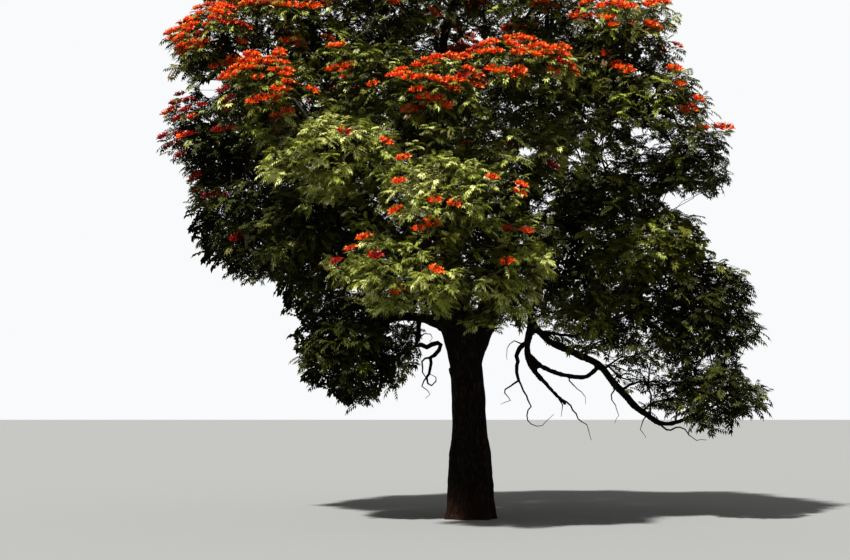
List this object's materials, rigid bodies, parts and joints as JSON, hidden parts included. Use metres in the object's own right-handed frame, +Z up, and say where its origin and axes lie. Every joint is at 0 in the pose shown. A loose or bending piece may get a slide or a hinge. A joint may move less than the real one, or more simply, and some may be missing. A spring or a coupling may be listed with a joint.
{
  "type": "flame tree",
  "caption": "Broad-crowned evergreen tree with a stout fluted trunk, drooping lower limbs and red-orange blossom over dark pinnate leaves.",
  "frame": {"origin": "middle of the flat cut under the trunk, at ground level", "axes": "+Z up the trunk; +X towards the side with the bare drooping limbs; -Y towards the pale front masses"},
  "size_m": [15.3638, 12.8195, 15.1176],
  "materials": {
    "bark": "rough, fluted, dark brown bark with pale lichen",
    "foliage": "dark green pinnate leaves with a slight gloss",
    "foliage_pale": "yellow-green pinnate leaves with a slight gloss",
    "blossom": "satin red-orange petals in heads among dark green leaves"
  },
  "bodies": {
    "root": {"bough_arch_arm": "bark", "bough_arch_fall": "bark", "bough_arch_rise": "bark", "bough_back": "bark", "bough_back_left": "bark", "bough_back_right": "bark", "bough_centre": "bark", "bough_centre_left": "bark", "bough_centre_right": "bark", "bough_droop": "bark", "bough_droop_link": "bark", "bough_front": "bark", "bough_front_left": "bark", "bough_left": "bark", "bough_left_fork": "bark", "bough_left_low": "bark", "bough_low_fall": "bark", "bough_low_reach": "bark", "bough_low_rise": "bark", "bough_middle_left": "bark", "bough_right": "bark", "bough_right_out": "bark", "bough_shelf": "bark", "mass_back_centre": "foliage", "mass_back_foot": "foliage", "mass_back_left_high": "blossom", "mass_back_left_low": "foliage", "mass_back_left_middle": "foliage", "mass_back_right_high": "blossom", "mass_back_right_low": "foliage", "mass_back_right_middle": "foliage", "mass_back_top": "blossom", "mass_flank_left_lower": "foliage", "mass_flank_left_upper": "blossom", "mass_flank_right": "foliage", "mass_front_centre_lower": "foliage_pale", "mass_front_centre_upper": "foliage_pale", "mass_front_left": "foliage_pale", "mass_front_right": "foliage_pale", "mass_low_left": "foliage", "mass_low_right_foot": "foliage", "mass_low_right_inner": "foliage", "mass_low_right_outer": "foliage", "mass_low_right_upper": "foliage", "mass_middle_left": "foliage", "mass_middle_right": "foliage", "mass_middle_upper": "foliage", "mass_shelf_centre": "blossom", "mass_shelf_left": "blossom", "mass_shelf_right": "blossom", "mass_shoulder_left_inner": "blossom", "mass_shoulder_left_outer": "blossom", "mass_shoulder_right_inner": "blossom", "mass_shoulder_right_outer": "foliage", "mass_top_centre": "blossom", "mass_top_left": "foliage", "mass_top_right": "foliage", "mass_under_shelf": "foliage", "trunk": "bark"}
  },
  "joints": []
}
